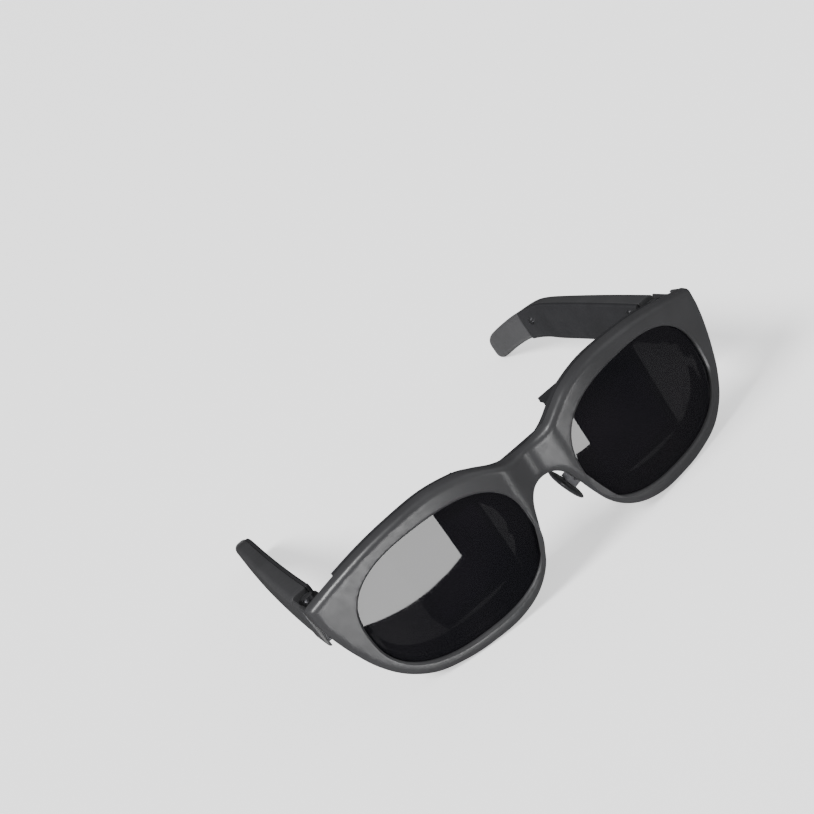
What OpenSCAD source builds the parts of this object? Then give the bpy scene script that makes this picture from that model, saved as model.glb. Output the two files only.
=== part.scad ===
// Display smart glasses: a wrapped front with dark lenses, see-through optics behind them,
// temples on a tilting and folding hinge, rocking nose pads and two sprung keys.
// +Z is up and the front faces -Y. The left side, as the wearer feels it, is at +X.
// The glasses stand open on their rims and temple tips, on z = 0.

/* [Front] */
// Radius that the front is wrapped to, seen from above
wrap_r = 192; // [170:2:230]
// Thickness of the moulded front frame
front_t = 4.6; // [4:0.1:5.5]
// Height of the lens centre line above the table
lens_z = 25; // [24:0.5:27]
// Depth of the recessed saddle in the bridge
saddle_depth = 2.6; // [1:0.2:3]

/* [Lenses] */
// Distance of each lens centre from the middle of the bridge
lens_x = 37.6; // [36:0.2:39]
// Half the width of the lens opening
lens_a = 27.2; // [25:0.2:28]
// Half the height of the lens opening
lens_b = 19.7; // [17:0.2:20]
// Thickness of the dark lens
lens_t = 1.8; // [1.2:0.1:2.2]

/* [Optics] */
// Distance of each eye axis from the middle
eye_x = 32; // [30:0.5:34]
// Width of the optic housing
optic_w = 28; // [24:1:30]
// Depth of the optic housing behind its front edge
optic_d = 12; // [10:0.5:13]

/* [Hinges] */
// Tilt axis behind the foremost line of the front
tilt_y = 24; // [23.5:0.5:26]
// Tilt and fold axes above the lens centre line
hinge_z = 4.5; // [3:0.5:6]
// Fold axis behind the tilt axis
fold_dy = 9; // [8.5:0.5:11]
// Fold axis from the middle of the front
fold_x = 69.5; // [69:0.1:70]
// Downward slope of the temples at their middle tilt step
rake = 5; // [3:0.5:7]
// Radius of the tilt and fold pins
pin_r = 1.1; // [0.9:0.05:1.2]

/* [Temples] */
// Length of a temple behind its fold axis
temple_len = 129.5; // [120:0.5:140]
// Height of the temple at the hinge
root_h = 15; // [14:0.5:17]
// Height of the temple at the tip
tip_h = 11; // [10:0.5:12]
// Thickness of the temple at the hinge
root_t = 7.5; // [7:0.1:8]
// Thickness of the temple at the tip
tip_t = 5.6; // [5.4:0.1:6]
// How far the tip drops to hook over the ear
tip_drop = 13.2; // [10:0.1:14]
// How far the tip curves in towards the head
tip_bow = 7; // [5:0.5:8]

/* [Keys] */
// Length of the brightness rocker
rocker_l = 13.4; // [12:0.2:15]
// Length of the mode button
button_l = 5.4; // [5:0.1:6]

/* [Hidden] */
$fn = 48;
// Running gap between a hinge pin and its bore, on the radius
fit = 0.05;
// Wall of the temple mouldings
wall = 1.4;
// Thickness of the temple's inner cover
cover_t = 1.3;
// Where the shell ends and the soft tip begins, behind the fold axis
shell_end = 92;
// Where the temple begins, behind the fold axis
temple_start = 5;
// Foremost point of the front, at the saddle's edge, and the rearmost point of the rounded tips
y_front = 0.08;
y_end = tilt_y + (fold_dy + temple_len) * cos(rake) - tip_drop * sin(rake) + 0.14;
// Middle of the whole object, front to back, which is the origin's place
y_mid = (y_front + y_end) / 2;
// Clear gap round a part that moves in its opening
key_gap = 0.25;
// Depth of the duct across the bridge, behind the frame
duct_t = 5.4;
// Height of the wear sensor above the lens centre line
sensor_z = 10.1;
// Places of the keys and the speaker along the temple
rocker_u = 24;
button_u = 39;
speaker_u = 58;
// Radius of the small screws' shanks
screw_r = 0.7;
// Places of the screws that hold the rear cover: distance from the middle, and height
frame_screw_at = [[33, 22.5], [38, -23.1]];
// Places of the screws that hold the hinge base
hinge_screw_at = [[67.6, 10.5], [69.2, -1.1]];
// Undersides of those screws' heads, behind the foremost line of the front
frame_screw_y = [for (p = frame_screw_at) sag(p[0]) + front_t + 2.8];
hinge_screw_y = [for (p = hinge_screw_at) sag(p[0]) + front_t + 2.2];
// Places of the screws that hold a temple's inner cover: distance along the temple, and height
temple_screw_at = [[11, 4.6], [84, 1.2]];
// Front and back of the optic housing, behind the foremost line of the front
optic_y0 = 8.8;
optic_y1 = optic_y0 + optic_d;
// Middle of a nose pad, on the pin it rocks on
pad_x = 11.2;
pad_y = 15.5;
pad_z = -7;
// Middle of the speaker, across the temple
speaker_w = mid_w(speaker_u);

// Upper and lower edge of the front's half outline, from the middle of the bridge outwards
top_edge = [[0, 16], [4, 16.2], [9, 17.8], [14, 20.6], [20, 23.3], [30, 24.9], [41, 24.1],
            [52, 22.1], [63, 18.8], [71, 15.8], [74, 14.6]];
low_edge = [[74, 12.6], [73.8, 8], [72.6, 2], [70.6, -4.5], [67.6, -11.5], [62.8, -18], [55.5, -22.8],
            [46, -24.7], [38, -24.93], [28.5, -24.2], [20, -21.1], [13.8, -15.6], [10.6, -9],
            [8.4, -2.8], [6.2, 2], [3.4, 4.6], [0, 5.3]];

// One point of a smooth curve through b and c, with neighbours a and d
function curve_point(a, b, c, d, t) =
    0.5 * (2 * b + (c - a) * t + (2 * a - 5 * b + 4 * c - d) * t * t
    + (3 * b - 3 * c + d - a) * t * t * t);
// A smooth open curve through the points, with n steps between each pair
function smooth(p, n) = [
    for (i = [0 : len(p) - 2], k = [0 : n - 1])
        curve_point(p[max(i - 1, 0)], p[i], p[i + 1], p[min(i + 2, len(p) - 1)], k / n),
    p[len(p) - 1]];
function flip(p) = [for (i = [len(p) - 1 : -1 : 0]) [-p[i][0], p[i][1]]];
half_outline = concat(smooth(top_edge, 5), smooth(low_edge, 4));
front_outline = concat(half_outline, [for (i = [1 : len(half_outline) - 2]) flip(half_outline)[i]]);

// Signed power, for the rounded oblong that the lenses follow
function spow(v, e) = sign(v) * pow(abs(v), e);
// Rounded oblong with half width a and half height b, leaning down outwards
function oblong(a, b, n, lean, steps = 44) = [
    for (i = [0 : steps - 1])
        let (t = i * 360 / steps, x = a * spow(cos(t), 2 / n))
            [x, b * spow(sin(t), 2 / n) - lean * x]];

// Temple centre line and half sizes at distance u behind the fold axis
function ramp(u, lo, hi) = let (t = min(max((u - lo) / (hi - lo), 0), 1)) t * t * (3 - 2 * t);
function mid_v(u) = u < 76 ? 0 : -tip_drop * pow((u - 76) / (temple_len - 76), 1.5);
function mid_w(u) = 0.5 - tip_bow * pow(u / temple_len, 2);
function end_round(u) = pow(1 - pow(max(0, (u - temple_len + 7) / 7), 4), 1 / 4);
function half_h(u) = (root_h + (tip_h - root_h) * ramp(u, 66, 100)) / 2 * end_round(u);
function half_t(u) = (root_t + (tip_t - root_t) * u / temple_len) / 2 * (0.6 + 0.4 * end_round(u));
function stations(lo, hi, n) = [for (i = [0 : n]) lo + (hi - lo) * sin(90 * i / n)];

// Moves a front part from the lens centre line to its place in the model
module on_front() {
    translate([0, -y_mid, lens_z]) children();
}

// A hinge part, measured from the tilt axis with the temples level
module on_hinge() {
    on_front() translate([0, tilt_y, hinge_z]) rotate([-rake, 0, 0]) children();
}

// A temple part, measured from the fold axis
module on_temple() {
    on_hinge() translate([fold_x, fold_dy, 0]) children();
}

module other_side() {
    mirror([1, 0, 0]) children();
}

// Outline in the X-Z plane, drawn out along Y
module upright(depth) {
    rotate([90, 0, 0]) linear_extrude(depth, center = true) children();
}

// The wrapped layer that lies between two depths behind the front surface
module wrapped_layer(d0, d1) {
    intersection() {
        translate([0, wrap_r, -45]) difference() {
            cylinder(h = 90, r = wrap_r - d0, $fn = 240);
            translate([0, 0, -1]) cylinder(h = 92, r = wrap_r - d1, $fn = 240);
        }
        upright(90) children();
    }
}

module lens_outline(grow) {
    translate([lens_x, -1]) polygon(oblong(lens_a + grow, lens_b + grow, 2.5, 0.03));
}

module box(lo, hi) {
    translate(lo) cube(hi - lo);
}

module rod(a, b, r) {
    d = b - a;
    translate(a) rotate([0, acos(d[2] / norm(d)), atan2(d[1], d[0])]) cylinder(h = norm(d), r = r);
}

// Round bar along X
module cross_bar(x0, x1, y, z, r) {
    translate([x0, y, z]) rotate([0, 90, 0]) cylinder(h = x1 - x0, r = r);
}

// Screw along Y with its head at the back
module back_screw(x, z, y_head, length) {
    translate([x, y_head, z]) rotate([90, 0, 0]) cylinder(h = length, r = screw_r);
    translate([x, y_head + 0.8, z]) rotate([90, 0, 0]) difference() {
        cylinder(h = 0.8, r = 1.25);
        translate([0, 0, -0.1]) cylinder(h = 0.5, r = 0.45, $fn = 6);
    }
}

// Through hole and seat for a screw along Y
module screw_seat(x, z, y_head) {
    translate([x, y_head, z]) rotate([90, 0, 0]) cylinder(h = 6, r = screw_r);
    translate([x, y_head + 3, z]) rotate([90, 0, 0]) cylinder(h = 3, r = 1.3);
}

// Depth of the front surface at distance x from the middle
function sag(x) = wrap_r - sqrt(wrap_r * wrap_r - x * x);

module front_frame() color([0.24, 0.24, 0.25]) on_front() difference() {
    union() {
        wrapped_layer(0, front_t) polygon(front_outline);
        // Thicker back of the bridge
        intersection() {
            box([-9, 2, 3], [9, front_t + 1.4, 18]);
            upright(60) polygon(front_outline);
        }
        // Side wall that runs back over the hinge
        for (m = [0, 1]) mirror([m, 0, 0]) intersection() {
            box([72.2, 14, -3], [74, 30, 14]);
            upright(80) polygon(front_outline);
            translate([0, tilt_y, hinge_z]) rotate([-rake, 0, 0]) box([70, -12, -8.2], [76, 1.6, 8.2]);
        }
    }
    for (m = [0, 1]) mirror([m, 0, 0]) {
        upright(90) lens_outline(0);
        wrapped_layer(1.2, front_t + 0.01) lens_outline(1.1);
        for (i = [0, 1]) {
            translate([frame_screw_at[i][0], frame_screw_y[i] - 2, frame_screw_at[i][1]])
                rotate([90, 0, 0]) cylinder(h = 3.2, r = screw_r);
            translate([hinge_screw_at[i][0], hinge_screw_y[i] - 1.2, hinge_screw_at[i][1]])
                rotate([90, 0, 0]) cylinder(h = 3.3, r = screw_r);
        }
    }
    // Saddle scooped out of the bridge's front
    translate([0, saddle_depth - 12, 0]) rotate([4, 0, 0]) cylinder(h = 80, r = 12, center = true);
}

module rear_cover() color([0.17, 0.17, 0.18]) on_front() difference() {
    union() {
        wrapped_layer(front_t + 0.1, front_t + 3.2) intersection() {
            offset(delta = -1) polygon(front_outline);
            square([124, 80], center = true);
        }
        // Duct across the bridge for the flex and the wear sensor
        wrapped_layer(front_t + 3.1, front_t + duct_t)
            translate([-17.9, 8.4]) square([35.8, 6.4]);
        // Shelf over each optic housing
        for (m = [0, 1]) mirror([m, 0, 0])
            box([eye_x - 15, 7, 15.7], [eye_x + 15, optic_y1 - 0.8, 17.2]);
    }
    box([-9.3, 0, 3], [9.3, front_t + 1.5, 19]);
    // Opening for the nose bracket
    box([-8.2, front_t, 3], [8.2, front_t + 8, 8.2]);
    wrapped_layer(-2, front_t + 0.1) square([124, 70], center = true);
    wrapped_layer(front_t + 3.2, front_t + 4.3) translate([-19, 12.1]) square([38, 2.1]);
    for (m = [0, 1]) mirror([m, 0, 0]) {
        upright(90) translate([eye_x, 0.5]) square([optic_w + 0.3, 30.3], center = true);
        upright(90) translate([lens_x + 1, -1]) polygon(oblong(lens_a - 3.4, lens_b - 3.2, 2.5, 0.03));
        for (i = [0, 1])
            screw_seat(frame_screw_at[i][0], frame_screw_at[i][1], frame_screw_y[i]);
    }
    // Opening for the wear sensor's window and board
    translate([0, 30, sensor_z]) rotate([90, 0, 0]) cylinder(h = 40, r = 1.6);
}

module sensor_window() color([0.05, 0.04, 0.06]) on_front()
    translate([0, front_t + duct_t, sensor_z]) rotate([90, 0, 0]) cylinder(h = 1, r = 1.55);

module sensor_board() color([0.1, 0.32, 0.2]) on_front()
    translate([0, front_t + duct_t - 1.1, sensor_z]) rotate([90, 0, 0]) cylinder(h = 0.8, r = 1.5);

module bridge_flex() color([0.75, 0.5, 0.15]) on_front()
    wrapped_layer(front_t + 3.5, front_t + 3.8) translate([-17.8, 12.3]) square([35.6, 1.7]);

module lens() color([0.05, 0.05, 0.06]) on_front()
    wrapped_layer(1.25, 1.25 + lens_t) lens_outline(1);

module lens_seal() color([0.12, 0.12, 0.12]) on_front()
    wrapped_layer(1.3 + lens_t, front_t) difference() {
        lens_outline(1);
        lens_outline(-0.8);
    }

// Optics sit in a box behind the lens, open to the front and the eye
module optic_housing() color([0.14, 0.14, 0.15]) on_front() {
    x0 = eye_x - optic_w / 2;
    x1 = eye_x + optic_w / 2;
    difference() {
        box([x0, optic_y0, -14.6], [x1, optic_y1, 15.6]);
        box([x0 + 1.2, optic_y0 - 1, -13.4], [x1 - 1.2, optic_y1 + 1, 11]);
        // Display compartment above the optics
        box([x0 + 4, optic_y0 + 1.2, 10.9], [x1 - 4, optic_y1 - 1.2, 14.5]);
    }
}

module combiner() color([0.55, 0.6, 0.65, 0.5]) on_front() intersection() {
    difference() {
        translate([eye_x, optic_y0 + 46, -1]) sphere(r = 45.8, $fn = 96);
        translate([eye_x, optic_y0 + 46, -1]) sphere(r = 44.6, $fn = 96);
    }
    box([eye_x - optic_w / 2 + 1.3, optic_y0 - 1, -13.3], [eye_x + optic_w / 2 - 1.3, optic_y0 + 6, 10.6]);
}

module beam_splitter() color([0.6, 0.65, 0.72, 0.5]) on_front()
    translate([eye_x, optic_y0 + 7.8, -1.2]) rotate([20, 0, 0])
        box([-optic_w / 2 + 1.3, -0.35, -8.8], [optic_w / 2 - 1.3, 0.35, 8.6]);

module field_lens() color([0.7, 0.75, 0.8, 0.6]) on_front() intersection() {
    translate([eye_x, optic_y0 + 6, 11.1 + 10.4]) sphere(r = 12, $fn = 96);
    box([eye_x - 9.5, optic_y0 + 1.3, 11.1], [eye_x + 9.5, optic_y1 - 1.3, 12.6]);
}

module display() color([0.08, 0.08, 0.16]) on_front() {
    box([eye_x - 8, optic_y0 + 1.4, 12.7], [eye_x + 8, optic_y1 - 1.4, 13.6]);
    box([eye_x - 6.4, optic_y0 + 2.4, 13.6], [eye_x + 6.4, optic_y1 - 2.4, 14.3]);
}

// Bracket behind the bridge that carries the pad arms
module nose_bracket() color([0.6, 0.6, 0.62]) on_front() difference() {
    union() {
        intersection() {
            box([-8, front_t + 1.6, 4], [8, front_t + 5, 8]);
            upright(60) offset(delta = -0.6) polygon(front_outline);
        }
        for (s = [-1, 1]) translate([s * 5.6, front_t + 5, 6]) rotate([-90, 0, 0]) cylinder(h = 2, r = 1.3);
    }
    for (s = [-1, 1]) translate([s * 5.6, front_t + 3.5, 6]) rotate([-90, 0, 0]) cylinder(h = 8, r = 0.6);
}

module pad_arm() {
    a = [5.6, front_t + 4, 6];
    b = [5.6, front_t + 8.5, 6];
    c = [pad_x + 1.2, front_t + 9, 2.2];
    d = [pad_x, pad_y - 4.2, pad_z];
    rod(a, b, 0.6);
    rod(b, c, 0.6);
    rod(c, d, 0.6);
    rod(d, d + [0, 7.4, 0], 0.6);
    for (p = [b, c, d]) translate(p) sphere(r = 0.64, $fn = 32);
}

module pad_arms() color([0.62, 0.62, 0.64]) on_front() for (m = [0, 1]) mirror([m, 0, 0]) pad_arm();

module pad_place() {
    on_front() translate([pad_x, pad_y, pad_z]) rotate([0, -20, 0]) children();
}

module pad_core() color([0.5, 0.5, 0.52]) on_front() difference() {
    translate([pad_x, pad_y, pad_z]) rotate([0, -20, 0]) translate([-1.75, 0, 0])
        rotate([0, 0, -14]) box([0.05, -2, -2], [3.5, 2, 2]);
    translate([pad_x, pad_y + 6, pad_z]) rotate([90, 0, 0]) cylinder(h = 12, r = 0.6 + fit);
}

module nose_pad() color([0.1, 0.1, 0.1]) pad_place()
    translate([-1.75, 0, 0]) rotate([0, 0, -14]) rotate([0, -90, 0])
        linear_extrude(2.2) polygon(oblong(7, 4.2, 2.3, 0, 28));

// Hinge base: a plate screwed behind the frame's end, with two ears for the tilt pin
module hinge_base() color([0.5, 0.5, 0.52]) {
    difference() {
        union() {
            on_front() wrapped_layer(front_t + 0.1, front_t + 2.6) intersection() {
                translate([62.6, hinge_z - 7.4]) square([9.3, 15.2]);
                offset(delta = -0.8) polygon(front_outline);
            }
            on_hinge() for (x = [63.2, 70]) {
                cross_bar(x, x + 1.6, 0, 0, 3.4);
                box([x, -8.2, -3.4], [x + 1.6, 0, 3.4]);
            }
        }
        on_hinge() cross_bar(60, 74, 0, 0, pin_r);
        on_front() wrapped_layer(0, front_t + 0.1) square([160, 60], center = true);
        on_front() for (i = [0, 1])
            screw_seat(hinge_screw_at[i][0], hinge_screw_at[i][1], hinge_screw_y[i]);
    }
}

module tilt_pins() color([0.8, 0.8, 0.82]) for (m = [0, 1]) mirror([m, 0, 0])
    on_hinge() cross_bar(63, 71.8, 0, 0, pin_r);

// Three notches hold the temple at its three tilt steps
module detent_plates() color([0.72, 0.7, 0.6]) for (m = [0, 1]) mirror([m, 0, 0])
    on_hinge() difference() {
        cross_bar(69.4, 69.95, 0, 0, 3);
        cross_bar(69, 70.2, 0, 0, pin_r);
        for (a = [-30, 0, 30]) rotate([a, 0, 0]) cross_bar(69, 70.2, 3, 0, 0.45);
    }

module frame_screws() color([0.75, 0.75, 0.77]) on_front()
    for (m = [0, 1], i = [0, 1]) mirror([m, 0, 0])
        back_screw(frame_screw_at[i][0], frame_screw_at[i][1], frame_screw_y[i], 5);

module hinge_screws() color([0.75, 0.75, 0.77]) on_front()
    for (m = [0, 1], i = [0, 1]) mirror([m, 0, 0])
        back_screw(hinge_screw_at[i][0], hinge_screw_at[i][1], hinge_screw_y[i], 4.3);

// Tilting block: turns on the tilt pin and carries the fold pin in two ears
module hinge_block() color([0.3, 0.3, 0.32]) on_hinge() difference() {
    union() {
        cross_bar(65.2, 69.2, 0, 0, 2.9);
        box([65.2, 0, -2.9], [69.2, 4.6, 2.9]);
        box([65.2, 3.8, -6.2], [72.8, 5.5, 6.2]);
        for (v = [-6.2, 3.4]) {
            translate([fold_x, fold_dy, v]) cylinder(h = 2.8, r = 3.2);
            box([fold_x - 3.2, 5, v], [fold_x + 3.2, fold_dy, v + 2.8]);
        }
    }
    cross_bar(60, 75, 0, 0, pin_r + fit);
    translate([fold_x, fold_dy, -8]) cylinder(h = 16, r = pin_r);
}

// Outer cap of the tilting block
module hinge_cheek() color([0.24, 0.24, 0.25]) on_hinge()
    box([72.8, 2.7, -7.4], [74, fold_dy + 3.9, 7.4]);

module fold_pin() color([0.8, 0.8, 0.82]) on_temple() {
    translate([0, 0, -6.6]) cylinder(h = 13.2, r = pin_r);
    for (v = [-6.9, 6.2]) translate([0, 0, v]) cylinder(h = 0.7, r = 1.9);
}

// Side view of the temple between two stations, drawn in from its edges by inset
module temple_side(u0, u1, inset, n = 22) {
    us = stations(u0, u1, n);
    top = [for (u = us) [u, mid_v(u) + half_h(u) - inset]];
    low = [for (i = [len(us) - 1 : -1 : 0]) [us[i], mid_v(us[i]) - half_h(us[i]) + inset]];
    rotate([90, 0, 90]) linear_extrude(30, center = true) polygon(concat(top, low));
}

// Plan view of the temple, from inner inset a to outer inset b
module temple_plan(u0, u1, a, b, n = 14) {
    us = stations(u0, u1, n);
    outer = [for (u = us) [mid_w(u) + half_t(u) - b, u]];
    inner = [for (i = [len(us) - 1 : -1 : 0]) [mid_w(us[i]) - half_t(us[i]) + a, us[i]]];
    linear_extrude(60, center = true) polygon(concat(outer, inner));
}

module temple_slab(u0, u1, inset, a, b) {
    intersection() {
        temple_side(u0, u1, inset);
        temple_plan(u0, u1, a, b);
    }
}

// Spring steel strip that joins the shell to the soft tip
module core_strip(grow) {
    intersection() {
        temple_side(78 - grow, 116 + grow, 3.6 - grow, 12);
        linear_extrude(60, center = true) polygon([
            for (u = [78 : 4.75 : 116]) [mid_w(u) + 0.4 + grow, u],
            for (u = [116 : -4.75 : 78]) [mid_w(u) - 0.4 - grow, u]]);
    }
}

module temple_screw_holes(r) {
    for (p = temple_screw_at)
        translate([mid_w(p[0]) - half_t(p[0]) - 2, p[0], mid_v(p[0]) + p[1]])
            rotate([0, 90, 0]) cylinder(h = 7, r = r);
}

// Moulded outer shell of a temple, open on its inner side
module temple_body() {
    difference() {
        temple_slab(temple_start, shell_end, 0, cover_t + 0.1, 0);
        difference() {
            temple_slab(temple_start + 3.4, 88.5, wall, 0, wall);
            // Bosses for the cover screws
            for (p = temple_screw_at)
                translate([-8, p[0], mid_v(p[0]) + p[1]]) rotate([0, 90, 0]) cylinder(h = 20, r = 1.9);
        }
        temple_screw_holes(screw_r);
        core_strip(0.05);
        // Slot for the hinge tang, and room for the knuckle to turn
        box([-1.3, 4, -3.3], [1.3, 19, 3.3]);
        // Speaker slot in the lower edge
        box([speaker_w - 1.35, speaker_u - 7, -9], [speaker_w + 1.35, speaker_u + 7, -5]);
    }
}

module temple_shell() color([0.22, 0.22, 0.23]) on_temple() temple_body();

module right_temple_shell_part() color([0.22, 0.22, 0.23]) on_temple() difference() {
    temple_body();
    box([-1.5 - key_gap, rocker_u - rocker_l / 2 - key_gap, -9],
        [1.5 + key_gap, rocker_u + rocker_l / 2 + key_gap, -5]);
    box([-1.4 - key_gap, button_u - button_l / 2 - key_gap, -9],
        [1.4 + key_gap, button_u + button_l / 2 + key_gap, -5]);
    translate([-4, rocker_u, -4.6]) rotate([0, 90, 0]) cylinder(h = 7.4, r = 0.5);
}

module temple_cover() color([0.2, 0.2, 0.21]) on_temple() difference() {
    temple_slab(temple_start, shell_end, 0, 0, 0);
    temple_slab(temple_start - 1, shell_end + 1, -1, cover_t, -1);
    temple_screw_holes(screw_r);
    // Seats for the screw heads
    for (p = temple_screw_at)
        translate([mid_w(p[0]) - half_t(p[0]) - 2, p[0], mid_v(p[0]) + p[1]])
            rotate([0, 90, 0]) cylinder(h = 2, r = 1.25);
}

module temple_screws() color([0.75, 0.75, 0.77]) on_temple() for (p = temple_screw_at) {
    w = mid_w(p[0]) - half_t(p[0]);
    translate([w - 0.5, p[0], mid_v(p[0]) + p[1]]) rotate([0, 90, 0]) cylinder(h = 0.5, r = 1.2);
    translate([w, p[0], mid_v(p[0]) + p[1]]) rotate([0, 90, 0]) cylinder(h = 4.6, r = screw_r);
}

module temple_hinge() color([0.55, 0.55, 0.57]) on_temple() difference() {
    union() {
        translate([0, 0, -3.25]) cylinder(h = 6.5, r = 3);
        box([-1.2, 0, -3.2], [1.2, 18.5, 3.2]);
    }
    translate([0, 0, -5]) cylinder(h = 10, r = pin_r + fit);
}

module temple_board() color([0.1, 0.32, 0.2]) on_temple() board_form();

module board_form() {
    box([0.6, 22, -1.6], [1.3, 48, 5.4]);
    box([-0.6, 26, 0], [0.6, 33, 4.6]);
    box([-0.3, 37, 0.4], [0.6, 42, 4]);
}

// The right board also carries the mode button's switch
module right_board() color([0.1, 0.32, 0.2]) on_temple() {
    board_form();
    box([-0.9, button_u - 1.5, -4.6], [1.3, button_u + 1.5, -1.6]);
}

module speaker() color([0.2, 0.2, 0.22]) on_temple() translate([speaker_w, speaker_u, 0]) {
    box([-1.65, -7.5, -4.6], [1.35, 7.5, 1]);
    box([-1.2, -6, -5.2], [1.2, 6, -4.6]);
}

module speaker_mesh() color([0.08, 0.08, 0.08]) on_temple()
    translate([speaker_w, speaker_u, 0]) difference() {
        box([-1.3, -6.9, -7.4], [1.3, 6.9, -6.4]);
        for (i = [-5 : 5]) translate([0, i * 1.2, -8]) cylinder(h = 3, r = 0.4, $fn = 16);
    }

module temple_core() color([0.7, 0.7, 0.72]) on_temple() difference() {
    core_strip(0);
    temple_screw_holes(screw_r);
}

// The port sits in the end of the left tip
module port_place() {
    u = temple_len - 4;
    translate([mid_w(u), temple_len - 0.9, mid_v(u) - 0.6]) rotate([-14, 0, 0]) children();
}

// Rounded oblong of a plug port, drawn along -Y
module port_form(w, h, depth) {
    rotate([90, 0, 0]) linear_extrude(depth) {
        square([w, h - w], center = true);
        for (s = [-1, 1]) translate([0, s * (h - w) / 2]) circle(r = w / 2);
    }
}

module tip_form() {
    difference() {
        temple_slab(shell_end + 0.1, temple_len, 0, 0, 0);
        core_strip(0.05);
    }
}

module temple_tip() color([0.15, 0.15, 0.15]) on_temple() tip_form();

module left_tip() color([0.15, 0.15, 0.15]) on_temple() difference() {
    tip_form();
    port_place() translate([0, 3, 0]) port_form(3.3, 9, 11);
}

module usb_port_shell() color([0.7, 0.7, 0.72]) on_temple() port_place() difference() {
    translate([0, -0.6, 0]) port_form(3.2, 8.9, 7.3);
    translate([0, 1, 0]) port_form(2.6, 8.3, 8);
}

module usb_tongue() color([0.12, 0.12, 0.13]) on_temple() port_place()
    box([-0.35, -7, -3.3], [0.35, -1.4, 3.3]);

module rocker_outline() {
    box([-1.5, rocker_u - rocker_l / 2, -8.1], [1.5, rocker_u + rocker_l / 2, -5.6]);
    box([-1.5, rocker_u - 1.4, -5.7], [1.5, rocker_u + 1.4, -3.6]);
}

module brightness_rocker() color([0.3, 0.3, 0.31]) on_temple() difference() {
    rocker_outline();
    translate([-4, rocker_u, -4.6]) rotate([0, 90, 0]) cylinder(h = 8, r = 0.5 + fit);
    // Finger dip in the middle
    translate([-3, rocker_u, -11.7]) rotate([0, 90, 0]) cylinder(h = 6, r = 4);
}

module rocker_pin() color([0.8, 0.8, 0.82]) on_temple()
    translate([-2, rocker_u, -4.6]) rotate([0, 90, 0]) cylinder(h = 5, r = 0.5);

module mode_button() color([0.3, 0.3, 0.31]) on_temple() {
    box([-1.4, button_u - button_l / 2, -8], [1.4, button_u + button_l / 2, -5.7]);
    box([-1.8, button_u - button_l / 2 - 0.6, -5.95], [1.8, button_u + button_l / 2 + 0.6, -5.35]);
}

front_frame();
rear_cover();
sensor_window();
sensor_board();
bridge_flex();
lens();  // left_lens
other_side() lens();  // right_lens
lens_seal();  // left_lens_seal
other_side() lens_seal();  // right_lens_seal
optic_housing();  // left_optic_housing
other_side() optic_housing();  // right_optic_housing
combiner();  // left_combiner
other_side() combiner();  // right_combiner
beam_splitter();  // left_beam_splitter
other_side() beam_splitter();  // right_beam_splitter
field_lens();  // left_field_lens
other_side() field_lens();  // right_field_lens
display();  // left_display
other_side() display();  // right_display
nose_bracket();
pad_arms();
nose_pad();  // left_nose_pad
other_side() nose_pad();  // right_nose_pad
pad_core();  // left_pad_core
other_side() pad_core();  // right_pad_core
hinge_base();  // left_hinge_base
other_side() hinge_base();  // right_hinge_base
tilt_pins();
detent_plates();
frame_screws();
hinge_screws();
hinge_block();  // left_hinge_block
other_side() hinge_block();  // right_hinge_block
hinge_cheek();  // left_hinge_cheek
other_side() hinge_cheek();  // right_hinge_cheek
fold_pin();  // left_fold_pin
other_side() fold_pin();  // right_fold_pin
temple_hinge();  // left_temple_hinge
other_side() temple_hinge();  // right_temple_hinge
temple_shell();  // left_temple_shell
other_side() right_temple_shell_part();  // right_temple_shell
temple_cover();  // left_temple_cover
other_side() temple_cover();  // right_temple_cover
temple_board();  // left_temple_board
other_side() right_board();  // right_temple_board
speaker();  // left_speaker
other_side() speaker();  // right_speaker
speaker_mesh();  // left_speaker_mesh
other_side() speaker_mesh();  // right_speaker_mesh
left_tip();  // left_temple_tip
other_side() temple_tip();  // right_temple_tip
temple_core();  // left_temple_core
other_side() temple_core();  // right_temple_core
temple_screws();  // left_temple_screws
other_side() temple_screws();  // right_temple_screws
usb_port_shell();
usb_tongue();
other_side() brightness_rocker();
other_side() rocker_pin();
other_side() mode_button();
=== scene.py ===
"""Display smart glasses, standing open: the looks of every piece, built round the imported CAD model."""
import math
import bpy
import bmesh
import numpy as np
from mathutils import Vector, Matrix


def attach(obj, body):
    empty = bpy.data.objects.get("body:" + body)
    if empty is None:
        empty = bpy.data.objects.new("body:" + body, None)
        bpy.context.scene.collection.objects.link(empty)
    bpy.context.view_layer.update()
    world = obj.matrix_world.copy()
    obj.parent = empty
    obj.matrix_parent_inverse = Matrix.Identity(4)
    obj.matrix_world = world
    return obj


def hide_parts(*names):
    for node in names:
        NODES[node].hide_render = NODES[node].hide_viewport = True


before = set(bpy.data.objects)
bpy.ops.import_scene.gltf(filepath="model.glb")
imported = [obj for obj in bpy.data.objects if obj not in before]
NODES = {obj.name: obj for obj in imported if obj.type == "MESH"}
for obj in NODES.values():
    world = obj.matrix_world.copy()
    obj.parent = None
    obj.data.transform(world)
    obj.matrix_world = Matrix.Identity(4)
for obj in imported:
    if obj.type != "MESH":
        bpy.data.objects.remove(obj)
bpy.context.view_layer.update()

MM = 0.001

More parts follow.
